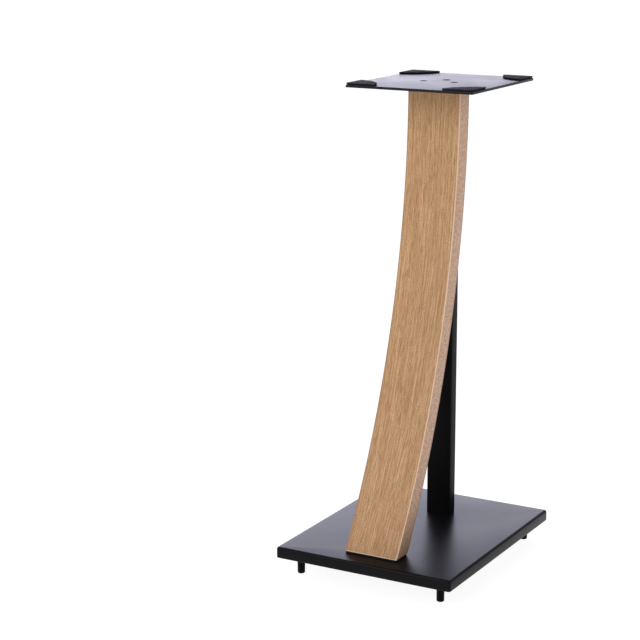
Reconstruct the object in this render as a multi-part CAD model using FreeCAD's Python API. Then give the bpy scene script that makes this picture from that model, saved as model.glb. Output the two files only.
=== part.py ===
import FreeCAD, Part
import math
import os
from FreeCAD import Vector

# A floor stand for one loudspeaker, in millimetres.
# X runs side to side, -Y is the front, +Z is up.
# The origin is on the floor, under the middle of the stand's whole outline.

# ---- base board: lacquered fibreboard ----
base_width = 252.0
base_depth = 310.0
base_thickness = 15.0
base_corner_radius = 3.6
base_top_round = 3.4
base_bottom_chamfer = 1.2

# ---- levelling feet and the steel studs that they turn on ----
foot_height = 24.0
foot_diameter = 10.5
foot_tip_chamfer = 1.2
foot_inset_x = 24.5
foot_inset_y = 24.0
stud_diameter = 6.0
stud_in_foot = 14.0
stud_in_base = 11.0
stud_clearance = 0.06
foot_insert_diameter = 9.0
foot_insert_length = 11.0
foot_insert_hole_spare = 1.5

# ---- bent pillar: oak-veneered board, upright at its head, leaning forward at its foot ----
pillar_width = 75.0
pillar_height = 588.0
pillar_thickness = 27.0
pillar_foot_inset = 25.9
pillar_head_inset = 114.5
pillar_arris = 0.8

# ---- spacer between the pillar and the base board ----
spacer_thickness = 2.0
spacer_inset = 1.0

# ---- two bolts that hold the pillar's foot ----
pillar_bolt_spacing = 44.0
pillar_bolt_diameter = 6.0
pillar_bolt_head_diameter = 10.0
pillar_bolt_head_height = 4.0
pillar_bolt_recess_depth = 6.0
pillar_washer_diameter = 12.5
pillar_washer_thickness = 1.2
pillar_insert_diameter = 9.0
pillar_insert_length = 12.0
pillar_insert_hole_spare = 1.0
bolt_tip_gap = 1.0
bolt_hole_clearance = 0.25
recess_clearance = 0.5
pillar_bolt_socket_width = 4.0
pillar_bolt_socket_depth = 2.3

# ---- post behind the pillar: rectangular steel tube, with a plug welded in at each end ----
post_width = 35.0
post_depth = 18.0
post_wall = 1.5
post_corner_radius = 2.5
post_gap = 0.5
post_plug_length = 12.0
post_bolt_diameter = 8.0
post_bolt_head_diameter = 13.0
post_bolt_head_height = 5.0
post_bolt_recess_depth = 7.5
post_bolt_socket_width = 5.0
post_bolt_socket_depth = 2.7
post_washer_diameter = 16.0
post_washer_thickness = 1.6

# ---- top plate: one flat sheet of steel ----
plate_width = 179.0
plate_depth = 191.0
plate_thickness = 3.4
plate_rear_overhang = 0.5
plate_corner_radius = 2.0
plate_edge_chamfer = 0.3

# ---- countersunk screws that hold the top plate ----
head_screw_spacing = 44.0
head_screw_diameter = 5.0
head_screw_head_diameter = 10.0
head_screw_length = 40.0
head_screw_point = 6.0
cross_recess_span = 6.6
cross_recess_width = 1.5
cross_recess_depth = 1.8
post_screw_diameter = 6.0
post_screw_head_diameter = 11.0
post_screw_length = 13.0
post_screw_socket_width = 4.0
post_screw_socket_depth = 1.6
countersink_gap = 0.15

# ---- corner pads ----
pad_leg = 41.8
pad_reach = 39.7
pad_thickness = 2.4
pad_inset = 0.5
pad_corner_round = 2.0
pad_edge_chamfer = 0.3
pad_undercut = 1.6

# ---- levels, from the floor up ----
base_bottom = foot_height
base_top = base_bottom + base_thickness
pillar_bottom = base_top + spacer_thickness
plate_bottom = pillar_bottom + pillar_height
plate_top = plate_bottom + plate_thickness

# ---- places, front to back: the origin lies midway between the foremost and rearmost edges ----
plate_setback = base_depth / 2 + plate_rear_overhang - plate_depth / 2
front_reach = min(-base_depth / 2, plate_setback - plate_depth / 2)
rear_reach = max(base_depth / 2, plate_setback + plate_depth / 2)
base_y = -(front_reach + rear_reach) / 2
plate_y = base_y + plate_setback

# ---- the pillar's bend: an arc from its foot's front edge, upright where it meets the plate ----
pillar_foot_front = base_y - base_depth / 2 + pillar_foot_inset
pillar_head_front = base_y + base_depth / 2 - pillar_head_inset
pillar_lean = pillar_head_front - pillar_foot_front
pillar_front_radius = (pillar_lean ** 2 + pillar_height ** 2) / (2 * pillar_lean)
pillar_back_radius = pillar_front_radius + pillar_thickness
pillar_bend_y = pillar_head_front - pillar_front_radius

# ---- places of the post and the feet ----
post_y = pillar_head_front + pillar_thickness + post_gap + post_depth / 2
foot_x = base_width / 2 - foot_inset_x
foot_dy = base_depth / 2 - foot_inset_y
UP = Vector(0, 0, 1)

CORNERS = {
    "front_left": (-1, -1),
    "front_right": (1, -1),
    "rear_left": (-1, 1),
    "rear_right": (1, 1),
}


# ---- helpers ----
def cylinder(x, y, z_low, z_high, diameter):
    return Part.makeCylinder(diameter / 2, z_high - z_low, Vector(x, y, z_low), UP)


def block(width, depth, x, y, z_low, z_high):
    corner = Vector(x - width / 2, y - depth / 2, z_low)
    return Part.makeBox(width, depth, z_high - z_low, corner)


def upright_edges(shape):
    found = []
    for edge in shape.Edges:
        start, end = edge.Vertexes[0].Point, edge.Vertexes[-1].Point
        if abs(start.z - end.z) > 1e-6 and abs(start.x - end.x) < 1e-6 and abs(start.y - end.y) < 1e-6:
            found.append(edge)
    return found


def level_edges(shape, z):
    return [edge for edge in shape.Edges if all(abs(v.Z - z) < 1e-6 for v in edge.Vertexes)]


def hexagon(x, y, z_low, z_high, across_flats):
    corner_radius = across_flats / math.sqrt(3)
    ring = [Vector(x + corner_radius * math.cos(math.radians(60 * i)),
                   y + corner_radius * math.sin(math.radians(60 * i)), z_low) for i in range(7)]
    return Part.Face(Part.makePolygon(ring)).extrude(Vector(0, 0, z_high - z_low))


def round_cornered(width, depth, radius, x, y, z_low, z_high):
    bar = block(width, depth, x, y, z_low, z_high)
    return bar.makeFillet(radius, upright_edges(bar))


def sleeve(x, y, z_low, z_high, diameter, bore):
    """A round piece with a hole through it, such as a threaded insert or a washer."""
    return cylinder(x, y, z_low, z_high, diameter).cut(cylinder(x, y, z_low, z_high, bore))


def socket_bolt(x, y, z_seat, z_tip, diameter, head_diameter, head_height, socket_width, socket_depth):
    """A low-head bolt pushed in from below: its head under z_seat and its shank up to z_tip."""
    head = cylinder(x, y, z_seat - head_height, z_seat, head_diameter)
    shank = cylinder(x, y, z_seat, z_tip, diameter)
    socket = hexagon(x, y, z_seat - head_height, z_seat - head_height + socket_depth, socket_width)
    return head.fuse(shank).removeSplitter().cut(socket)


def countersunk_head(x, y, diameter, head_diameter, gap=0.0):
    """The tapered head of a screw in the top plate, or with a gap all round, the hole for it."""
    low, high = diameter / 2 + gap, head_diameter / 2 + gap
    return Part.makeCone(low, high, plate_thickness, Vector(x, y, plate_bottom), UP)


# ---- the bent pillar's side profile ----
def pillar_face_y(radius, z):
    """Where a face of the pillar lies at height z: both faces bend about one line at head height."""
    drop = plate_bottom - z
    return pillar_bend_y + math.sqrt(radius * radius - drop * drop)


def pillar_middle_y(z):
    return (pillar_face_y(pillar_front_radius, z) + pillar_face_y(pillar_back_radius, z)) / 2


def pillar_arc(radius, x):
    middle = (pillar_bottom + plate_bottom) / 2
    heights = (pillar_bottom, middle, plate_bottom)
    low, mid, high = [Vector(x, pillar_face_y(radius, z), z) for z in heights]
    return Part.Arc(low, mid, high).toShape(), low, high


pillar_insert_top = pillar_bottom + pillar_insert_length
pillar_bolt_y = pillar_middle_y(pillar_bottom + pillar_insert_length / 2)
pillar_head_y = pillar_middle_y(plate_bottom)
pillar_bolt_xs = (-pillar_bolt_spacing / 2, pillar_bolt_spacing / 2)
head_screw_xs = (-head_screw_spacing / 2, head_screw_spacing / 2)
pillar_bolt_hole = pillar_bolt_diameter + 2 * bolt_hole_clearance
post_bolt_hole = post_bolt_diameter + 2 * bolt_hole_clearance
foot_insert_top = base_bottom + foot_insert_length


def foot_place(corner):
    side, end = CORNERS[corner]
    return side * foot_x, base_y + end * foot_dy


# ---- pieces ----
def base_board():
    board = block(base_width, base_depth, 0, base_y, base_bottom, base_top)
    board = board.makeFillet(base_corner_radius, upright_edges(board))
    board = board.makeFillet(base_top_round, level_edges(board, base_top))
    board = board.makeChamfer(base_bottom_chamfer, level_edges(board, base_bottom))
    holes = []
    for corner in CORNERS:
        holes.append(cylinder(*foot_place(corner), base_bottom, foot_insert_top + foot_insert_hole_spare,
                              foot_insert_diameter))
    for x in pillar_bolt_xs:
        holes.append(cylinder(x, pillar_bolt_y, base_bottom, base_top, pillar_bolt_hole))
        holes.append(cylinder(x, pillar_bolt_y, base_bottom, base_bottom + pillar_bolt_recess_depth,
                              pillar_washer_diameter + 2 * recess_clearance))
    holes.append(cylinder(0, post_y, base_bottom, base_top, post_bolt_hole))
    holes.append(cylinder(0, post_y, base_bottom, base_bottom + post_bolt_recess_depth,
                          post_washer_diameter + 2 * recess_clearance))
    return board.cut(holes)


def foot(corner):
    """A round foot with a bevelled tip and a socket for its stud."""
    x, y = foot_place(corner)
    body = cylinder(x, y, 0, foot_height, foot_diameter)
    body = body.makeChamfer(foot_tip_chamfer, level_edges(body, 0))
    return body.cut(cylinder(x, y, foot_height - stud_in_foot, foot_height, stud_diameter))


def foot_stud(corner):
    return cylinder(*foot_place(corner), foot_height - stud_in_foot, base_bottom + stud_in_base,
                    stud_diameter)


def foot_inserts():
    bore = stud_diameter + 2 * stud_clearance
    return Part.makeCompound([
        sleeve(*foot_place(corner), base_bottom, foot_insert_top, foot_insert_diameter, bore)
        for corner in CORNERS])


def pillar():
    half = pillar_width / 2
    front, front_low, front_high = pillar_arc(pillar_front_radius, -half)
    back, back_low, back_high = pillar_arc(pillar_back_radius, -half)
    foot_line = Part.LineSegment(back_low, front_low).toShape()
    head_line = Part.LineSegment(front_high, back_high).toShape()
    outline = Part.Wire(Part.__sortEdges__([front, head_line, back, foot_line]))
    panel = Part.Face(outline).extrude(Vector(pillar_width, 0, 0))
    panel = panel.makeChamfer(pillar_arris, panel.Edges)
    insert_hole_top = pillar_insert_top + pillar_insert_hole_spare
    holes = [cylinder(x, pillar_bolt_y, pillar_bottom, insert_hole_top, pillar_insert_diameter)
             for x in pillar_bolt_xs]
    holes += [cylinder(x, pillar_head_y, plate_top - head_screw_length, plate_bottom, head_screw_diameter)
              for x in head_screw_xs]
    return panel.cut(holes)


def pillar_foot_spacer():
    front = pillar_face_y(pillar_front_radius, pillar_bottom) + spacer_inset
    back = pillar_face_y(pillar_back_radius, pillar_bottom) - spacer_inset
    width = pillar_width - 2 * spacer_inset
    sheet = block(width, back - front, 0, (front + back) / 2, base_top, pillar_bottom)
    return sheet.cut([cylinder(x, pillar_bolt_y, base_top, pillar_bottom, pillar_bolt_hole)
                      for x in pillar_bolt_xs])


def pillar_foot_inserts():
    return Part.makeCompound([
        sleeve(x, pillar_bolt_y, pillar_bottom, pillar_insert_top, pillar_insert_diameter,
               pillar_bolt_diameter) for x in pillar_bolt_xs])


def pillar_foot_washers():
    z_high = base_bottom + pillar_bolt_recess_depth
    z_low = z_high - pillar_washer_thickness
    return Part.makeCompound([
        sleeve(x, pillar_bolt_y, z_low, z_high, pillar_washer_diameter, pillar_bolt_hole)
        for x in pillar_bolt_xs])


def pillar_foot_bolts():
    z_seat = base_bottom + pillar_bolt_recess_depth - pillar_washer_thickness
    return Part.makeCompound([
        socket_bolt(x, pillar_bolt_y, z_seat, pillar_insert_top - bolt_tip_gap, pillar_bolt_diameter,
                    pillar_bolt_head_diameter, pillar_bolt_head_height, pillar_bolt_socket_width,
                    pillar_bolt_socket_depth)
        for x in pillar_bolt_xs])


def inside_post(z_low, z_high):
    """The space inside the tube between two heights."""
    return round_cornered(post_width - 2 * post_wall, post_depth - 2 * post_wall,
                          post_corner_radius - post_wall, 0, post_y, z_low, z_high)


def support_post():
    tube = round_cornered(post_width, post_depth, post_corner_radius, 0, post_y, base_top, plate_bottom)
    return tube.cut(inside_post(base_top, plate_bottom))


def post_plug(z_low, z_high, bore):
    return inside_post(z_low, z_high).cut(cylinder(0, post_y, z_low, z_high, bore))


def post_foot_washer():
    z_high = base_bottom + post_bolt_recess_depth
    return sleeve(0, post_y, z_high - post_washer_thickness, z_high, post_washer_diameter, post_bolt_hole)


def post_foot_bolt():
    z_seat = base_bottom + post_bolt_recess_depth - post_washer_thickness
    return socket_bolt(0, post_y, z_seat, base_top + post_plug_length - bolt_tip_gap, post_bolt_diameter,
                       post_bolt_head_diameter, post_bolt_head_height, post_bolt_socket_width,
                       post_bolt_socket_depth)


def pillar_head_screws():
    """Two countersunk wood screws with cross recesses, driven down into the pillar's head."""
    radius = head_screw_diameter / 2
    tip = plate_top - head_screw_length
    shank_low = tip + head_screw_point
    screws = []
    for x in head_screw_xs:
        head = countersunk_head(x, pillar_head_y, head_screw_diameter, head_screw_head_diameter)
        shank = cylinder(x, pillar_head_y, shank_low, plate_bottom, head_screw_diameter)
        point = Part.makeCone(0, radius, head_screw_point, Vector(x, pillar_head_y, tip), UP)
        floor = plate_top - cross_recess_depth
        slots = [block(cross_recess_span, cross_recess_width, x, pillar_head_y, floor, plate_top),
                 block(cross_recess_width, cross_recess_span, x, pillar_head_y, floor, plate_top)]
        screws.append(head.fuse([shank, point]).removeSplitter().cut(slots))
    return Part.makeCompound(screws)


def post_head_screw():
    """One countersunk machine screw with a hexagon socket, turned down into the post's upper plug."""
    head = countersunk_head(0, post_y, post_screw_diameter, post_screw_head_diameter)
    shank = cylinder(0, post_y, plate_top - post_screw_length, plate_bottom, post_screw_diameter)
    socket = hexagon(0, post_y, plate_top - post_screw_socket_depth, plate_top, post_screw_socket_width)
    return head.fuse(shank).removeSplitter().cut(socket)


def top_plate():
    sheet = block(plate_width, plate_depth, 0, plate_y, plate_bottom, plate_top)
    sheet = sheet.makeFillet(plate_corner_radius, upright_edges(sheet))
    rims = level_edges(sheet, plate_top) + level_edges(sheet, plate_bottom)
    sheet = sheet.makeChamfer(plate_edge_chamfer, rims)
    holes = [countersunk_head(x, pillar_head_y, head_screw_diameter, head_screw_head_diameter,
                              countersink_gap) for x in head_screw_xs]
    holes.append(countersunk_head(0, post_y, post_screw_diameter, post_screw_head_diameter,
                                  countersink_gap))
    return sheet.cut(holes)


def corner_pad(corner):
    """A quarter-round pad, its square corner at the plate's corner and its lower edge cut back."""
    side, end = CORNERS[corner]
    apex_x = side * (plate_width / 2 - pad_inset)
    apex_y = plate_y + end * (plate_depth / 2 - pad_inset)
    slant = pad_reach * math.sqrt(0.5)
    apex = Vector(apex_x, apex_y, plate_top)
    along_x = Vector(apex_x - side * pad_leg, apex_y, plate_top)
    along_y = Vector(apex_x, apex_y - end * pad_leg, plate_top)
    bow = Vector(apex_x - side * slant, apex_y - end * slant, plate_top)
    outline = Part.Wire([
        Part.LineSegment(apex, along_x).toShape(),
        Part.Arc(along_x, bow, along_y).toShape(),
        Part.LineSegment(along_y, apex).toShape()])
    pad = Part.Face(outline).extrude(Vector(0, 0, pad_thickness))
    pad = pad.makeFillet(pad_corner_round, upright_edges(pad))
    pad = pad.makeChamfer(pad_edge_chamfer, level_edges(pad, plate_top + pad_thickness))
    return pad.makeChamfer(pad_undercut, level_edges(pad, plate_top))


# ---- build ----
def all_pieces():
    pieces = {
        "base_board": base_board(),
        "foot_inserts": foot_inserts(),
        "pillar": pillar(),
        "pillar_foot_spacer": pillar_foot_spacer(),
        "pillar_foot_inserts": pillar_foot_inserts(),
        "pillar_foot_washers": pillar_foot_washers(),
        "pillar_foot_bolts": pillar_foot_bolts(),
        "support_post": support_post(),
        "post_foot_plug": post_plug(base_top, base_top + post_plug_length, post_bolt_diameter),
        "post_head_plug": post_plug(plate_bottom - post_plug_length, plate_bottom, post_screw_diameter),
        "post_foot_washer": post_foot_washer(),
        "post_foot_bolt": post_foot_bolt(),
        "top_plate": top_plate(),
        "pillar_head_screws": pillar_head_screws(),
        "post_head_screw": post_head_screw(),
    }
    for corner in CORNERS:
        pieces["foot_" + corner] = foot(corner)
        pieces["foot_stud_" + corner] = foot_stud(corner)
        pieces["corner_pad_" + corner] = corner_pad(corner)
    return pieces


os.makedirs("parts", exist_ok=True)
for name, shape in all_pieces().items():
    if not shape.isValid():
        print("not valid:", name)
    print(name, len(shape.Solids), round(shape.Volume, 1))
    shape.exportStep("parts/" + name + ".step")
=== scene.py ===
import math

import bmesh
import bpy
from mathutils import Matrix, Vector


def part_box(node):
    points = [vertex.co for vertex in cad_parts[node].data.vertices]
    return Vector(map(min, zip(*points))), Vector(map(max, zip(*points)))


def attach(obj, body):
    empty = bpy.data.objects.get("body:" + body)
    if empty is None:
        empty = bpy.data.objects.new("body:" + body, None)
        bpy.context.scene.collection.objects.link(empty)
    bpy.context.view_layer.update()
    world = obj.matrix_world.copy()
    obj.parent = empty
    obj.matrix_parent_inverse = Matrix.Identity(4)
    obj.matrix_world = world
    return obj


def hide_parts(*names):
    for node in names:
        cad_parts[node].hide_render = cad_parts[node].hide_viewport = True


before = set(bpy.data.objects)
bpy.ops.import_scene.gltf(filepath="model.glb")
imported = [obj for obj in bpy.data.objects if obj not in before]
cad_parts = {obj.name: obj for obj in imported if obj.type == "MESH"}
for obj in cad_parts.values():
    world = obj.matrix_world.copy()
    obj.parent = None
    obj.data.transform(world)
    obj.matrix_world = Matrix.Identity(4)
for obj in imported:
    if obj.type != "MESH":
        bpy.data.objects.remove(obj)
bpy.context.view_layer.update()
bpy.ops.object.select_all(action="DESELECT")

# A floor stand for one loudspeaker, in metres: a bent oak pillar and a black steel post on a
# lacquered base board, under a thin steel plate with four rubber corner pads.
# X runs side to side, -Y is the front, +Z is up.
MM = 0.001
CORNERS = ("front_left", "front_right", "rear_left", "rear_right")
HALVES = (-0.5, 0.5)

# ---- camera: turns in degrees, lens and sensor in millimetres ----
CAMERA_PLACE = (1.0622, -2.1320, 0.8948)
CAMERA_HEADING = 29.564
CAMERA_TILT_DOWN = 13.443
CAMERA_ROLL = -0.0966
CAMERA_LENS = 105.06
CAMERA_SENSOR = 36.0

# ---- base board ----
BASE_CORNER_ROUND = 3.6 * MM
BASE_TOP_ROUND = 3.4 * MM
BASE_BOTTOM_ROUND = 1.2 * MM
FOOT_INSERT = 9.0 * MM
FOOT_INSERT_SPARE = 1.5 * MM
RECESS_CLEARANCE = 0.5 * MM
BOLT_CLEARANCE = 0.25 * MM
PILLAR_BOLT = 6.0 * MM
POST_BOLT = 8.0 * MM
PILLAR_BOLT_SPACING = 44.0 * MM
PILLAR_WASHER = 12.5 * MM

# ---- pillar ----
PILLAR_THICKNESS = 27.0 * MM
PILLAR_ARRIS = 0.8 * MM
PILLAR_STEPS = 48
# How far the panel is swept on past its foot before it is cut off level, in radians.
PILLAR_PAST_FOOT = 0.03
PILLAR_INSERT = 9.0 * MM
PILLAR_INSERT_SPARE = 1.0 * MM
HEAD_SCREW = 5.0 * MM
HEAD_SCREW_SPACING = 44.0 * MM

# ---- post ----
POST_WALL = 1.5 * MM
POST_CORNER_ROUND = 2.5 * MM

# ---- top plate and its screws ----
PLATE_CORNER_ROUND = 2.0 * MM
PLATE_EDGE_BREAK = 0.3 * MM
COUNTERSINK_GAP = 0.15 * MM
COUNTERSINK_SPARE = 0.5 * MM
HEAD_SCREW_HEAD = 10.0 * MM
POST_SCREW = 6.0 * MM
POST_SCREW_HEAD = 11.0 * MM

# ---- corner pads ----
PAD_LEG = 41.8 * MM
PAD_REACH = 39.7 * MM
PAD_CORNER_ROUND = 2.0 * MM
PAD_EDGE_ROUND = 0.3 * MM
PAD_UNDERCUT = 1.6 * MM

# ---- feet ----
FOOT_TIP_ROUND = 1.5 * MM
FOOT_TIP_TAPER = 0.94
STUD = 6.0 * MM
STUD_IN_FOOT = 14.0 * MM

# ---- how far a hole's cutter stands out past a face ----
CUTTER_SPARE = 1.0 * MM

# ---- how finely the shapes are cut: sides of a cylinder, and faces across a rounded edge ----
HOLE_SIDES = 48
PEG_SIDES = 64
PAD_SIDES = 256
BEVEL_FACES = 1
RIM_FACES = 3
ARRIS_FACES = 4
TIP_FACES = 5
BROAD_FACES = 6
FINE_FACES = 8

# ---- what counts as the same place, as level, and as a sharp or a soft edge ----
NEAR = 1e-6
LEVEL = 0.99
SHARP = math.radians(50)
SOFT = math.radians(35)

# ---- oak: how fine each pattern is across, into and along the pillar, for places in millimetres ----
OAK_SWAY = (0.02, 0.02, 0.006)
OAK_SWAY_WIDTH = 7.0
OAK_BANDS = (0.16, 0.16, 0.0024)
OAK_FIBRES = (0.90, 0.90, 0.009)
OAK_PORES = (0.90, 0.90, 0.055)
OAK_GLINTS = (0.95, 0.95, 0.020)
OAK_SPECKS = (1.0, 1.0, 0.70)
OAK_GRIT = (1.0, 1.0, 0.6)
GLINTS_APART = 31.0
SPECKS_APART = 57.0
# Where each of these starts and ends: in from the rear face, painted shade up from the foot, in from the
# side, and the painted edge highlight in from the edge. The painted edge line wanders by the last.
OAK_REAR_BAND = (3.5 * MM, 1.5 * MM)
OAK_PAINTED_FOOT_SHADE = (5 * MM, 70 * MM)
OAK_SIDE_START = (0.5 * MM, 0.3 * MM)
OAK_PAINTED_EDGE_LIGHT = (0.8 * MM, 1.4 * MM)
OAK_EDGE_WOBBLE = 1.6 * MM

# ---- floor: metres, and how strongly it glows ----
FLOOR_WIDTH = 60.0
FLOOR_LEVEL = -0.0005
FLOOR_GLOW = 0.92

# ---- sky: colours by height, from level (0) to straight up (1) ----
SKY = (
    (0.0, (2.50, 2.48, 2.70)),
    (0.12, (3.05, 3.03, 3.34)),
    (0.28, (3.75, 3.75, 4.66)),
    (0.50, (5.00, 5.00, 6.25)),
    (0.75, (0.60, 0.60, 0.66)),
)
# It is brightest beyond the stand, this many degrees left of where the camera looks, and dims away
# from there. The next two are cosines of the angle from that side.
SKY_TURN = 25.0
SKY_DIM_AT = 0.5
SKY_FULL_AT = 0.97
SKY_LEAST = 0.13
SKY_MOST = 1.0

# ---- soft lights: name, place, what it points at, width, height, watts, colour ----
LIGHTS = (
    ("key_light", (-1.2, -2.6, 2.0), (0.0, 0.0, 0.3), 1.6, 1.6, 36.0, (1.0, 0.98, 0.95)),
    ("overhead_light", (0.0, -0.3, 3.0), (0.0, -0.1, 0.0), 1.6, 1.6, 18.0, (1.0, 0.99, 0.97)),
    ("right_light", (2.4, 0.6, 1.6), (0.0, 0.0, 0.3), 1.2, 1.8, 11.5, (0.96, 0.94, 1.0)),
)


# ================= modelling helpers =================
def box_of(node):
    """Lowest corner, highest corner and middle of a node at rest."""
    low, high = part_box(node)
    return low, high, (low + high) / 2


def pick_only(piece):
    """Make one piece the only selected one, and the active one."""
    bpy.ops.object.select_all(action="DESELECT")
    piece.select_set(True)
    bpy.context.view_layer.objects.active = piece


def settle(piece):
    """Put the piece's place, turn and size into its mesh, so that its object sits at the origin."""
    pick_only(piece)
    bpy.ops.object.transform_apply(location=True, rotation=True, scale=True)


def new_box(name, low, high):
    bpy.ops.mesh.primitive_cube_add(size=1.0, location=(low + high) / 2, scale=high - low)
    piece = bpy.context.active_object
    piece.name = name
    settle(piece)
    return piece


def new_cylinder(name, place, radius, z_low, z_high, sides):
    middle = (place[0], place[1], (z_low + z_high) / 2)
    bpy.ops.mesh.primitive_cylinder_add(vertices=sides, radius=radius, depth=z_high - z_low,
                                        location=middle)
    piece = bpy.context.active_object
    piece.name = name
    settle(piece)
    return piece


def new_cone(place, z_low, z_high, low_radius, high_radius):
    middle = (place[0], place[1], (z_low + z_high) / 2)
    bpy.ops.mesh.primitive_cone_add(vertices=PEG_SIDES, radius1=low_radius, radius2=high_radius,
                                    depth=z_high - z_low, location=middle)
    piece = bpy.context.active_object
    settle(piece)
    return piece


def edit(piece, mode):
    """Enter edit mode on one piece, with faces or edges to pick and none picked."""
    pick_only(piece)
    bpy.ops.object.mode_set(mode="EDIT")
    bpy.ops.mesh.select_mode(type=mode)
    bpy.ops.mesh.select_all(action="DESELECT")


def done():
    bpy.ops.object.mode_set(mode="OBJECT")


def pick_all():
    bpy.ops.mesh.select_all(action="SELECT")


def pick_edges(piece, wanted):
    """Select the edges that pass the test."""
    bpy.ops.mesh.select_all(action="DESELECT")
    shape = bmesh.from_edit_mesh(piece.data)
    for edge in shape.edges:
        edge.select_set(wanted(edge))
    bmesh.update_edit_mesh(piece.data)


def pick_faces(piece, wanted):
    """Select the faces whose middle and normal pass the test."""
    bpy.ops.mesh.select_all(action="DESELECT")
    shape = bmesh.from_edit_mesh(piece.data)
    for face in shape.faces:
        face.select_set(wanted(face.calc_center_median(), face.normal))
    bmesh.update_edit_mesh(piece.data)


def is_upright(edge):
    start, end = (corner.co for corner in edge.verts)
    return (start.xy - end.xy).length < NEAR and abs(start.z - end.z) > NEAR


def is_sharp(edge):
    return edge.is_manifold and edge.calc_face_angle() > SHARP


def round_picked(radius, faces):
    bpy.ops.mesh.bevel(offset=radius, segments=faces, profile=0.5, affect="EDGES")


def round_upright_edges(piece, radius, faces):
    pick_edges(piece, is_upright)
    round_picked(radius, faces)


def round_rim(piece, level, radius, faces):
    """Round the outline of the flat face at this height."""
    pick_faces(piece, lambda middle, normal: abs(middle.z - level) < NEAR and abs(normal.z) > LEVEL)
    bpy.ops.mesh.region_to_loop()
    round_picked(radius, faces)


def cut_out(piece, cutters):
    """Take the cutters' shapes out of the piece, and delete them."""
    for cutter in cutters:
        modifier = piece.modifiers.new("hole", "BOOLEAN")
        modifier.operation = "DIFFERENCE"
        modifier.solver = "EXACT"
        modifier.object = cutter
        bpy.context.view_layer.objects.active = piece
        bpy.ops.object.modifier_apply(modifier=modifier.name)
        bpy.data.objects.remove(cutter)


def smooth(piece):
    """Shade soft edges smooth and keep sharp ones crisp."""
    pick_only(piece)
    bpy.ops.object.shade_smooth_by_angle(angle=SOFT)
    piece.select_set(False)


def dress(piece, node, body, finish):
    """Put a finished piece in the place of its node, on its body, in its finish."""
    piece.data.materials.clear()
    piece.data.materials.append(finish)
    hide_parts(node)
    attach(piece, body)


def paint(node, finish):
    """Give a node that stays as it is a finish of its own."""
    node_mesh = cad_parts[node].data
    node_mesh.materials.clear()
    node_mesh.materials.append(finish)


# ================= finishes =================
class Finish:
    """A material being put together, with short ways to add its nodes."""

    # The range that most of a noise falls in, and its middle.
    LOW, MIDDLE, HIGH = 0.3, 0.5, 0.7
    # A Mix node's colour sockets share their names with others, so they go by number.
    FIRST_COLOUR, SECOND_COLOUR, MIXED_COLOUR = 6, 7, 2

    def __init__(self, name):
        self.material = bpy.data.materials.new(name)
        self.material.use_nodes = True
        self.tree = self.material.node_tree
        self.surface = self.tree.nodes["Principled BSDF"]
        self.place = self.add("ShaderNodeTexCoord").outputs["Object"]

    def add(self, kind, **settings):
        node = self.tree.nodes.new(kind)
        for name, value in settings.items():
            setattr(node, name, value)
        return node

    def feed(self, socket, value):
        """Link a socket's output, or set a plain value."""
        if isinstance(value, bpy.types.NodeSocket):
            self.tree.links.new(value, socket)
        else:
            socket.default_value = value

    def math(self, operation, first, second=0.0, third=0.0):
        node = self.add("ShaderNodeMath", operation=operation)
        for socket, value in zip(node.inputs, (first, second, third)):
            self.feed(socket, value)
        return node.outputs[0]

    def stretch(self, vector, scale):
        node = self.add("ShaderNodeMapping")
        self.feed(node.inputs["Vector"], vector)
        node.inputs["Scale"].default_value = scale
        return node.outputs[0]

    def shift(self, vector, distance):
        """Move a pattern off, so that it doesn't line up with another of the same kind."""
        node = self.add("ShaderNodeMapping")
        self.feed(node.inputs["Vector"], vector)
        node.inputs["Location"].default_value = (distance, distance, distance)
        return node.outputs[0]

    def noise(self, vector, scale=1.0, detail=2.0, roughness=0.5):
        node = self.add("ShaderNodeTexNoise")
        self.feed(node.inputs["Vector"], vector)
        node.inputs["Scale"].default_value = scale
        node.inputs["Detail"].default_value = detail
        node.inputs["Roughness"].default_value = roughness
        return node.outputs["Fac"]

    def dashes(self, vector):
        """Distance to the nearest of many scattered spots, low inside each dash of the pattern."""
        node = self.add("ShaderNodeTexVoronoi", feature="F1")
        self.feed(node.inputs["Vector"], vector)
        node.inputs["Scale"].default_value = 1.0
        return node.outputs["Distance"]

    def span(self, value, low, high, new_low, new_high):
        """Map the range low..high smoothly onto new_low..new_high."""
        node = self.add("ShaderNodeMapRange", interpolation_type="SMOOTHSTEP")
        self.feed(node.inputs["Value"], value)
        limits = {"From Min": low, "From Max": high, "To Min": new_low, "To Max": new_high}
        for name, number in limits.items():
            node.inputs[name].default_value = number
        return node.outputs["Result"]

    def rise(self, value, start, full, strength=1.0):
        """Nothing up to the start, then more, and the whole strength from full on."""
        return self.span(value, start, full, 0.0, strength)

    def fade(self, value, full, gone, strength):
        """The whole strength up to full, then less, and nothing once gone."""
        return self.span(value, full, gone, strength, 0.0)

    def roughness(self, pattern, smoothest, mattest):
        """A roughness that follows a noise."""
        return self.span(pattern, self.LOW, self.HIGH, smoothest, mattest)

    def blend(self, amount, first, second):
        node = self.add("ShaderNodeMix", data_type="RGBA")
        self.feed(node.inputs["Factor"], amount)
        self.feed(node.inputs[self.FIRST_COLOUR], first)
        self.feed(node.inputs[self.SECOND_COLOUR], second)
        return node.outputs[self.MIXED_COLOUR]

    def relief(self, height, strength, distance):
        """A bump from a height, in metres of distance, onto the surface's normal."""
        node = self.add("ShaderNodeBump")
        node.inputs["Strength"].default_value = strength
        node.inputs["Distance"].default_value = distance
        self.feed(node.inputs["Height"], height)
        self.feed(self.surface.inputs["Normal"], node.outputs["Normal"])

    def coat(self, colour, roughness):
        self.feed(self.surface.inputs["Base Color"], colour)
        self.feed(self.surface.inputs["Roughness"], roughness)

    def shine(self, level):
        self.surface.inputs["Specular IOR Level"].default_value = level


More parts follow.
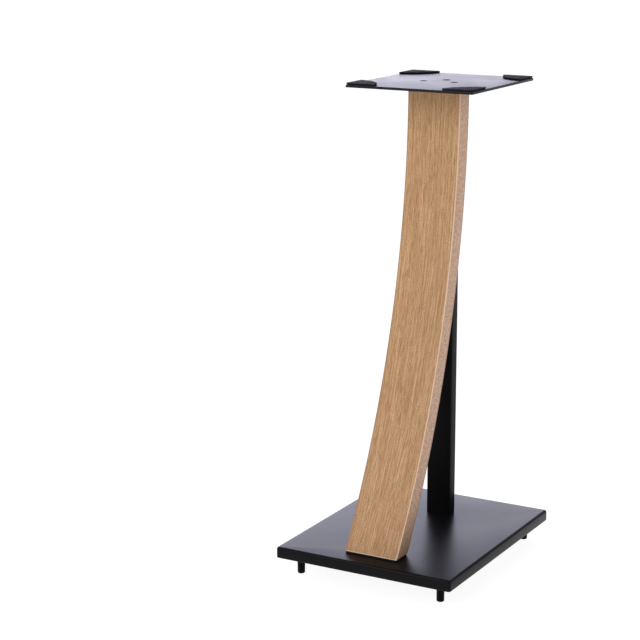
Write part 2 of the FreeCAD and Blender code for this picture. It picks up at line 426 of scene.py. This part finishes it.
def from_srgb(red, green, blue):
    """A colour given as the eye sees it, 0 to 255, for a shader."""
    channels = []
    for value in (red, green, blue):
        share = value / 255
        channels.append(share / 12.92 if share <= 0.04045 else ((share + 0.055) / 1.055) ** 2.4)
    return (*channels, 1.0)


def base_lacquer():
    """Satin black lacquer, with the faint waviness of a sprayed board."""
    finish = Finish("satin_black_lacquer")
    cloud = finish.noise(finish.place, scale=14.0, detail=3.0)
    grain = finish.noise(finish.place, scale=900.0, detail=2.0)
    waves = finish.noise(finish.place, scale=160.0, detail=2.0)
    grain_share = 0.3
    colour = finish.blend(cloud, from_srgb(10, 10, 11), from_srgb(14, 13, 15))
    finish.coat(colour, finish.roughness(cloud, 0.31, 0.34))
    finish.shine(0.09)
    finish.relief(finish.math("MULTIPLY_ADD", grain, grain_share, waves), 0.2, 0.02 * MM)
    return finish.material


def painted_steel(name, gloss_side, matt_side, shine):
    """Black paint on steel, with a fine even texture."""
    finish = Finish(name)
    cloud = finish.noise(finish.place, scale=20.0, detail=2.0)
    speck = finish.noise(finish.place, scale=1400.0, detail=2.0)
    colour = finish.blend(cloud, from_srgb(15, 15, 16), from_srgb(20, 19, 21))
    finish.coat(colour, finish.roughness(cloud, gloss_side, matt_side))
    finish.shine(shine)
    finish.relief(speck, 0.2, 0.02 * MM)
    return finish.material


def black_screw():
    """Blackened steel, rubbed a little on its high spots."""
    finish = Finish("blackened_screw_steel")
    wear = finish.noise(finish.place, scale=700.0, detail=3.0)
    rubbed = finish.rise(wear, start=0.55, full=0.75)
    colour = finish.blend(rubbed, from_srgb(3, 3, 3), from_srgb(8, 8, 8))
    finish.coat(colour, finish.roughness(wear, 0.8, 0.9))
    finish.shine(0.0)
    finish.relief(wear, 0.3, 0.05 * MM)
    return finish.material


def zinc_steel():
    """Bright zinc plating with fine turning rings along its length."""
    finish = Finish("zinc_plated_steel")
    tone = finish.noise(finish.place, scale=260.0, detail=3.0)
    rings = finish.noise(finish.stretch(finish.place, (60.0, 60.0, 4200.0)), detail=1.0)
    colour = finish.blend(tone, from_srgb(168, 170, 172), from_srgb(196, 197, 196))
    finish.coat(colour, finish.roughness(rings, 0.26, 0.40))
    finish.surface.inputs["Metallic"].default_value = 1.0
    finish.relief(rings, 0.3, 0.06 * MM)
    return finish.material


def foot_plastic():
    """Moulded black plastic."""
    finish = Finish("moulded_black_plastic")
    grain = finish.noise(finish.place, scale=1100.0, detail=2.0)
    scuff = finish.noise(finish.place, scale=240.0, detail=3.0)
    colour = finish.blend(scuff, from_srgb(6, 6, 7), from_srgb(10, 10, 11))
    finish.coat(colour, finish.roughness(scuff, 0.38, 0.5))
    finish.shine(0.05)
    finish.relief(grain, 0.3, 0.05 * MM)
    return finish.material


def pad_rubber():
    """Dense black rubber with a fine matt grain."""
    finish = Finish("dense_black_rubber")
    grain = finish.noise(finish.place, scale=1500.0, detail=3.0)
    cloud = finish.noise(finish.place, scale=90.0, detail=2.0)
    colour = finish.blend(cloud, from_srgb(34, 33, 36), from_srgb(43, 41, 45))
    finish.coat(colour, finish.roughness(cloud, 0.85, 0.95))
    finish.shine(0.08)
    finish.relief(grain, 0.5, 0.06 * MM)
    return finish.material


def unbent(finish, bend_y, bend_z, front_radius):
    """A point's place on the pillar: across, its height, behind the front face, and along the bend."""
    parts = finish.add("ShaderNodeSeparateXYZ")
    finish.feed(parts.inputs[0], finish.place)
    across, y, z = parts.outputs
    ahead = finish.math("SUBTRACT", y, bend_y)
    below = finish.math("SUBTRACT", bend_z, z)
    reach = finish.math("SQRT", finish.math("ADD", finish.math("MULTIPLY", ahead, ahead),
                                            finish.math("MULTIPLY", below, below)))
    depth = finish.math("SUBTRACT", reach, front_radius)
    along = finish.math("MULTIPLY", finish.math("ARCTAN2", below, ahead), front_radius)
    return across, z, depth, along


def in_millimetres(finish, metres):
    together = finish.add("ShaderNodeCombineXYZ")
    for socket, value in zip(together.inputs, metres):
        finish.feed(socket, finish.math("MULTIPLY", value, 1 / MM))
    return together.outputs[0]


def swayed(finish, board):
    """The board's places pushed gently from side to side, so that the grain wanders."""
    sway = finish.noise(finish.stretch(board, OAK_SWAY), detail=1.0)
    push = finish.math("MULTIPLY", finish.math("SUBTRACT", sway, finish.MIDDLE), OAK_SWAY_WIDTH)
    drift = finish.add("ShaderNodeCombineXYZ")
    finish.feed(drift.inputs[0], push)
    pushed = finish.add("ShaderNodeVectorMath", operation="ADD")
    finish.feed(pushed.inputs[0], board)
    finish.feed(pushed.inputs[1], drift.outputs[0])
    return pushed.outputs[0]


def veneer(finish, board):
    """Oak veneer: its colour, and the fibres and pores that its relief is made of."""
    wood = swayed(finish, board)
    bands = finish.noise(finish.stretch(wood, OAK_BANDS), detail=2.0)
    fibres = finish.noise(finish.stretch(wood, OAK_FIBRES), detail=1.0)
    pores = finish.dashes(finish.stretch(wood, OAK_PORES))
    glints = finish.noise(finish.stretch(finish.shift(wood, GLINTS_APART), OAK_GLINTS), detail=1.0)
    specks = finish.noise(finish.stretch(finish.shift(wood, SPECKS_APART), OAK_SPECKS), detail=1.0)

    band = finish.rise(bands, start=0.35, full=0.75, strength=0.16)
    glint = finish.rise(glints, start=0.54, full=0.68, strength=0.42)
    pore = finish.fade(pores, full=0.20, gone=0.46, strength=0.62)
    speck = finish.rise(specks, start=0.46, full=0.66, strength=0.62)
    light, warm = from_srgb(206, 166, 119), from_srgb(182, 138, 93)
    colour = finish.blend(finish.rise(fibres, start=0.38, full=0.62), light, warm)
    colour = finish.blend(band, colour, from_srgb(144, 97, 57))
    colour = finish.blend(glint, colour, from_srgb(226, 192, 142))
    colour = finish.blend(pore, colour, from_srgb(140, 93, 54))
    colour = finish.blend(speck, colour, from_srgb(146, 98, 58))
    return colour, fibres, pore


def side_strip(finish, grit, depth, above_foot):
    """The gritty strip along the pillar's sides, darker along its rear edge, with painted shade near the
    foot.
    """
    dull, pale = from_srgb(162, 127, 100), from_srgb(219, 182, 150)
    colour = finish.blend(finish.rise(grit, start=0.38, full=0.62), dull, pale)
    start, full = (PILLAR_THICKNESS - inset for inset in OAK_REAR_BAND)
    rear = finish.rise(depth, start, full, strength=0.6)
    colour = finish.blend(rear, colour, from_srgb(136, 102, 92))
    # Painted shade: the strip darkens towards the pillar's foot.
    full, gone = OAK_PAINTED_FOOT_SHADE
    painted_foot_shade = finish.fade(above_foot, full, gone, strength=0.4)
    return finish.blend(painted_foot_shade, colour, from_srgb(132, 90, 50))


def oak(bend_y, bend_z, front_radius, half_width, foot_level):
    """Oak whose grain follows the pillar's bend, with its own sides and a thin line along its edges that is
    painted light: a pale painted highlight along the right side and the foot, and brown painted shade along
    the left side.
    """
    finish = Finish("straight_grained_oak")
    across, z, depth, along = unbent(finish, bend_y, bend_z, front_radius)
    board = in_millimetres(finish, (across, depth, along))
    above_foot = finish.math("SUBTRACT", z, foot_level)
    side = finish.math("ABSOLUTE", across)
    grit = finish.noise(finish.stretch(board, OAK_GRIT), detail=2.0, roughness=0.75)

    colour, fibres, pore = veneer(finish, board)
    start, full = (half_width - inset for inset in OAK_SIDE_START)
    colour = finish.blend(finish.rise(side, start, full), colour,
                          side_strip(finish, grit, depth, above_foot))

    # The thin edge line is painted light: a pale painted highlight along the right side and along the foot,
    # and brown painted shade along the left side.
    pale, edge_shade_brown = from_srgb(238, 208, 176), from_srgb(140, 106, 86)
    wobble = finish.math("MULTIPLY", finish.math("SUBTRACT", grit, finish.MIDDLE), OAK_EDGE_WOBBLE)
    from_side = finish.math("ADD", finish.math("SUBTRACT", half_width, side), depth)
    from_foot = finish.math("ADD", above_foot, depth)
    from_edge = finish.math("ADD", finish.math("MINIMUM", from_side, from_foot), wobble)
    painted_side_edge_light_and_shade = finish.blend(finish.math("GREATER_THAN", across, 0.0), edge_shade_brown, pale)
    line = finish.blend(finish.math("LESS_THAN", from_foot, from_side), painted_side_edge_light_and_shade, pale)
    full, gone = OAK_PAINTED_EDGE_LIGHT
    colour = finish.blend(finish.fade(from_edge, full, gone, strength=0.8), colour, line)

    finish.coat(colour, finish.roughness(fibres, 0.46, 0.56))
    finish.shine(0.3)
    finish.relief(finish.math("SUBTRACT", fibres, pore), 0.3, 0.08 * MM)
    return finish.material


# ================= pieces =================
def base_board(finish):
    """A board with rounded edges, bored from below for the feet's inserts, the bolts and their washers."""
    low, high, _ = box_of("base_board")
    board = new_box("base_panel", low, high)
    edit(board, "EDGE")
    round_upright_edges(board, BASE_CORNER_ROUND, BROAD_FACES)
    round_rim(board, high.z, BASE_TOP_ROUND, BROAD_FACES)
    round_rim(board, low.z, BASE_BOTTOM_ROUND, RIM_FACES)
    done()

    below, above = low.z - CUTTER_SPARE, high.z + CUTTER_SPARE
    cutters = []
    insert_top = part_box("foot_inserts")[1].z + FOOT_INSERT_SPARE
    for corner in CORNERS:
        place = box_of("foot_stud_" + corner)[2]
        cutters.append(new_cylinder("insert_hole", place, FOOT_INSERT / 2, below, insert_top, HOLE_SIDES))
    bolt_middle = box_of("pillar_foot_bolts")[2]
    washer_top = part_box("pillar_foot_washers")[1].z
    recess = PILLAR_WASHER / 2 + RECESS_CLEARANCE
    shank = PILLAR_BOLT / 2 + BOLT_CLEARANCE
    for side in HALVES:
        place = (side * PILLAR_BOLT_SPACING, bolt_middle.y)
        cutters.append(new_cylinder("recess", place, recess, below, washer_top, HOLE_SIDES))
        cutters.append(new_cylinder("bolt_hole", place, shank, below, above, HOLE_SIDES))
    washer_low, washer_high, washer_middle = box_of("post_foot_washer")
    recess = (washer_high.x - washer_low.x) / 2 + RECESS_CLEARANCE
    cutters.append(new_cylinder("recess", washer_middle, recess, below, washer_high.z, HOLE_SIDES))
    shank = POST_BOLT / 2 + BOLT_CLEARANCE
    cutters.append(new_cylinder("bolt_hole", washer_middle, shank, below, above, HOLE_SIDES))
    cut_out(board, cutters)
    smooth(board)
    dress(board, "base_board", "stand", finish)


def pillar_bend():
    """The bend line's y and z, and the radius of the pillar's front face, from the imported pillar."""
    low, high, _ = box_of("pillar")
    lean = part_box("pillar_head_screws")[0].y + HEAD_SCREW_HEAD / 2 - PILLAR_THICKNESS / 2 - low.y
    height = high.z - low.z
    radius = (lean ** 2 + height ** 2) / (2 * lean)
    return low.y + lean - radius, high.z, radius


def pillar():
    """A panel swept down from its head around the bend line, and cut off level at its foot."""
    low, high, _ = box_of("pillar")
    bend_y, bend_z, radius = pillar_bend()
    head_front = bend_y + radius
    head_low = Vector((low.x, head_front, high.z))
    head_high = Vector((high.x, head_front + PILLAR_THICKNESS, high.z))
    bpy.ops.mesh.primitive_plane_add(size=1.0, location=(head_low + head_high) / 2)
    panel = bpy.context.active_object
    panel.name = "oak_pillar"
    panel.scale = (head_high.x - head_low.x, PILLAR_THICKNESS, 1.0)
    settle(panel)

    sweep = math.asin((high.z - low.z) / radius) + PILLAR_PAST_FOOT
    edit(panel, "FACE")
    pick_all()
    bpy.ops.mesh.spin(steps=PILLAR_STEPS, angle=sweep, center=(0.0, bend_y, bend_z),
                      axis=(1.0, 0.0, 0.0))
    pick_all()
    bpy.ops.mesh.remove_doubles(threshold=NEAR)
    pick_all()
    bpy.ops.mesh.normals_make_consistent(inside=False)
    done()
    edit(panel, "FACE")
    pick_all()
    bpy.ops.mesh.bisect(plane_co=(0.0, 0.0, low.z), plane_no=(0.0, 0.0, 1.0), use_fill=True,
                        clear_inner=True)
    bpy.ops.mesh.select_mode(type="EDGE")
    pick_edges(panel, is_sharp)
    round_picked(PILLAR_ARRIS, ARRIS_FACES)
    done()

    cutters = []
    below, above = low.z - CUTTER_SPARE, high.z + CUTTER_SPARE
    foot_y = box_of("pillar_foot_bolts")[2].y
    insert_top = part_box("pillar_foot_inserts")[1].z + PILLAR_INSERT_SPARE
    head_y = box_of("pillar_head_screws")[2].y
    screw_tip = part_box("pillar_head_screws")[0].z
    for side in HALVES:
        place = (side * PILLAR_BOLT_SPACING, foot_y)
        cutters.append(new_cylinder("insert_hole", place, PILLAR_INSERT / 2, below, insert_top, HOLE_SIDES))
        place = (side * HEAD_SCREW_SPACING, head_y)
        cutters.append(new_cylinder("pilot_hole", place, HEAD_SCREW / 2, screw_tip, above, HOLE_SIDES))
    cut_out(panel, cutters)
    smooth(panel)
    dress(panel, "pillar", "stand", oak(bend_y, bend_z, radius, high.x, low.z))


def support_post(finish):
    """A rectangular tube: a box with rounded corners, its ends opened to the tube's wall."""
    low, high, _ = box_of("support_post")
    post = new_box("steel_post", low, high)
    edit(post, "EDGE")
    round_upright_edges(post, POST_CORNER_ROUND, FINE_FACES)
    bpy.ops.mesh.select_mode(type="FACE")
    pick_faces(post, lambda place, normal: abs(normal.z) > LEVEL)
    bpy.ops.mesh.inset(thickness=POST_WALL, use_boundary=True)
    bpy.ops.mesh.delete(type="ONLY_FACE")
    bpy.ops.mesh.select_mode(type="EDGE")
    bpy.ops.mesh.select_all(action="DESELECT")
    bpy.ops.mesh.select_non_manifold()
    bpy.ops.mesh.bridge_edge_loops()
    pick_all()
    bpy.ops.mesh.normals_make_consistent(inside=False)
    done()
    smooth(post)
    dress(post, "support_post", "stand", finish)


def countersink(place, z_low, z_high, shank, head):
    """A cutter for one countersunk hole, with its taper carried on past both faces."""
    slope = (head - shank) / 2 / (z_high - z_low)
    low_radius = shank / 2 + COUNTERSINK_GAP - slope * COUNTERSINK_SPARE
    high_radius = head / 2 + COUNTERSINK_GAP + slope * COUNTERSINK_SPARE
    return new_cone(place, z_low - COUNTERSINK_SPARE, z_high + COUNTERSINK_SPARE, low_radius, high_radius)


def top_plate(finish):
    """A thin plate with three countersunk holes, two over the pillar and one over the post."""
    low, high, _ = box_of("top_plate")
    plate = new_box("head_plate", low, high)
    edit(plate, "EDGE")
    round_upright_edges(plate, PLATE_CORNER_ROUND, BROAD_FACES)
    round_rim(plate, high.z, PLATE_EDGE_BREAK, RIM_FACES)
    round_rim(plate, low.z, PLATE_EDGE_BREAK, RIM_FACES)
    done()
    head_y = box_of("pillar_head_screws")[2].y
    cutters = []
    for side in HALVES:
        place = (side * HEAD_SCREW_SPACING, head_y)
        cutters.append(countersink(place, low.z, high.z, HEAD_SCREW, HEAD_SCREW_HEAD))
    post_place = box_of("post_head_screw")[2]
    cutters.append(countersink(post_place, low.z, high.z, POST_SCREW, POST_SCREW_HEAD))
    cut_out(plate, cutters)
    smooth(plate)
    dress(plate, "top_plate", "stand", finish)


def pad_curve():
    """How far the curved edge's middle lies outside the pad's square corner, and its radius."""
    beyond = (PAD_LEG ** 2 - PAD_REACH ** 2) / (2 * math.sqrt(2) * PAD_REACH - 2 * PAD_LEG)
    return beyond, PAD_REACH + beyond * math.sqrt(2)


def corner_pad(corner, finish):
    """A quarter-round pad with its square corner outwards, and its lower edge cut back."""
    low, high, middle = box_of("corner_pad_" + corner)
    side = 1 if middle.x > 0 else -1
    end = 1 if corner.startswith("rear") else -1
    apex = Vector((high.x if side > 0 else low.x, high.y if end > 0 else low.y, 0.0))
    beyond, radius = pad_curve()
    centre = apex + Vector((side * beyond, end * beyond, 0.0))
    pad = new_cylinder("rubber_pad_" + corner, centre, radius, low.z, high.z, PAD_SIDES)
    edit(pad, "FACE")
    for outward in ((side, 0.0, 0.0), (0.0, end, 0.0)):
        pick_all()
        bpy.ops.mesh.bisect(plane_co=apex, plane_no=outward, use_fill=True, clear_outer=True)
    bpy.ops.mesh.select_mode(type="EDGE")
    pick_edges(pad, lambda edge: is_upright(edge) and is_sharp(edge))
    round_picked(PAD_CORNER_ROUND, FINE_FACES)
    round_rim(pad, high.z, PAD_EDGE_ROUND, RIM_FACES)
    round_rim(pad, low.z, PAD_UNDERCUT, BEVEL_FACES)
    done()
    smooth(pad)
    dress(pad, "corner_pad_" + corner, "stand", finish)


def foot(corner, finish):
    """A round peg with a tapered, rounded tip, hollow above for its stud."""
    low, high, middle = box_of("foot_" + corner)
    radius = (high.x - low.x) / 2
    peg = new_cylinder("peg_foot_" + corner, middle, radius, low.z, high.z, PEG_SIDES)
    edit(peg, "FACE")
    pick_faces(peg, lambda place, normal: normal.z < -LEVEL)
    bpy.ops.transform.resize(value=(FOOT_TIP_TAPER, FOOT_TIP_TAPER, 1.0))
    bpy.ops.mesh.region_to_loop()
    round_picked(FOOT_TIP_ROUND, TIP_FACES)
    bpy.ops.mesh.select_mode(type="FACE")
    pick_faces(peg, lambda place, normal: normal.z > LEVEL)
    bpy.ops.mesh.inset(thickness=radius - STUD / 2)
    bpy.ops.mesh.extrude_region_move(TRANSFORM_OT_translate={"value": (0.0, 0.0, -STUD_IN_FOOT)})
    done()
    smooth(peg)
    dress(peg, "foot_" + corner, corner + "_foot", finish)


def build_stand():
    tube_paint = painted_steel("satin_black_tube_paint", 0.28, 0.32, 0.035)
    plate_coat = painted_steel("black_plate_powder_coat", 0.38, 0.43, 0.22)
    rubber = pad_rubber()
    plastic = foot_plastic()
    zinc = zinc_steel()
    screw = black_screw()
    base_board(base_lacquer())
    pillar()
    support_post(tube_paint)
    top_plate(plate_coat)
    for corner in CORNERS:
        corner_pad(corner, rubber)
        foot(corner, plastic)
        paint("foot_stud_" + corner, zinc)
    for node in ("foot_inserts", "pillar_foot_inserts", "pillar_foot_washers", "pillar_foot_bolts",
                 "post_foot_washer", "post_foot_bolt"):
        paint(node, zinc)
    for node in ("pillar_head_screws", "post_head_screw"):
        paint(node, screw)
    for node in ("post_foot_plug", "post_head_plug"):
        paint(node, tube_paint)
    paint("pillar_foot_spacer", rubber)


# ================= studio =================
def glowing_floor():
    """A pale surface that is lit and also glows a little, like a light table."""
    finish = Finish("pale_floor")
    grain = finish.noise(finish.place, scale=3.0, detail=1.0)
    finish.coat(finish.blend(grain, (0.19, 0.19, 0.19, 1.0), (0.20, 0.20, 0.20, 1.0)), 0.9)
    finish.shine(0.0)
    finish.surface.inputs["Emission Color"].default_value = (1.0, 1.0, 1.0, 1.0)
    finish.surface.inputs["Emission Strength"].default_value = FLOOR_GLOW
    return finish.material


def lay_floor():
    bpy.ops.mesh.primitive_plane_add(size=FLOOR_WIDTH, location=(0.0, 0.0, FLOOR_LEVEL))
    floor = bpy.context.active_object
    floor.name = "studio_floor"
    floor.data.materials.append(glowing_floor())


def hang_sky():
    """Soft light from all round: its colour goes by height, and its strength by direction."""
    world = bpy.data.worlds.new("studio")
    bpy.context.scene.world = world
    world.use_nodes = True
    nodes, links = world.node_tree.nodes, world.node_tree.links
    sky = nodes["Background"]
    direction = nodes.new("ShaderNodeTexCoord").outputs["Generated"]

    split = nodes.new("ShaderNodeSeparateXYZ")
    links.new(direction, split.inputs[0])
    ramp = nodes.new("ShaderNodeValToRGB")
    links.new(split.outputs["Z"], ramp.inputs[0])
    first, last = ramp.color_ramp.elements
    first.position, last.position = SKY[0][0], SKY[-1][0]
    for height, _ in SKY[1:-1]:
        ramp.color_ramp.elements.new(height)
    for element, (_, tint) in zip(ramp.color_ramp.elements, SKY):
        element.color = (*tint, 1.0)

    heading = math.radians(CAMERA_HEADING + SKY_TURN)
    towards = nodes.new("ShaderNodeVectorMath")
    towards.operation = "DOT_PRODUCT"
    links.new(direction, towards.inputs[0])
    towards.inputs[1].default_value = (-math.sin(heading), math.cos(heading), 0.0)
    strength = nodes.new("ShaderNodeMapRange")
    strength.interpolation_type = "SMOOTHSTEP"
    links.new(towards.outputs["Value"], strength.inputs["Value"])
    limits = {"From Min": SKY_DIM_AT, "From Max": SKY_FULL_AT, "To Min": SKY_LEAST, "To Max": SKY_MOST}
    for name, number in limits.items():
        strength.inputs[name].default_value = number
    links.new(ramp.outputs[0], sky.inputs["Color"])
    links.new(strength.outputs["Result"], sky.inputs["Strength"])


def soft_light(name, place, target, width, height, power, colour):
    bpy.ops.object.light_add(type="AREA", location=place)
    light = bpy.context.active_object
    light.name = name
    light.data.shape = "RECTANGLE"
    light.data.size = width
    light.data.size_y = height
    light.data.energy = power
    light.data.color = colour
    light.rotation_euler = (Vector(target) - Vector(place)).to_track_quat("-Z", "Y").to_euler()


def camera():
    bpy.ops.object.camera_add()
    eye = bpy.context.active_object
    eye.name = "camera"
    eye.data.lens = CAMERA_LENS
    eye.data.sensor_width = CAMERA_SENSOR
    eye.data.sensor_fit = "HORIZONTAL"
    heading = Matrix.Rotation(math.radians(CAMERA_HEADING), 4, "Z")
    tilt = Matrix.Rotation(math.radians(90 - CAMERA_TILT_DOWN), 4, "X")
    roll = Matrix.Rotation(math.radians(CAMERA_ROLL), 4, "Z")
    eye.matrix_world = Matrix.Translation(CAMERA_PLACE) @ heading @ tilt @ roll
    bpy.context.scene.camera = eye


build_stand()
lay_floor()
hang_sky()
for light in LIGHTS:
    soft_light(*light)
camera()
bpy.context.scene.view_settings.view_transform = "Standard"
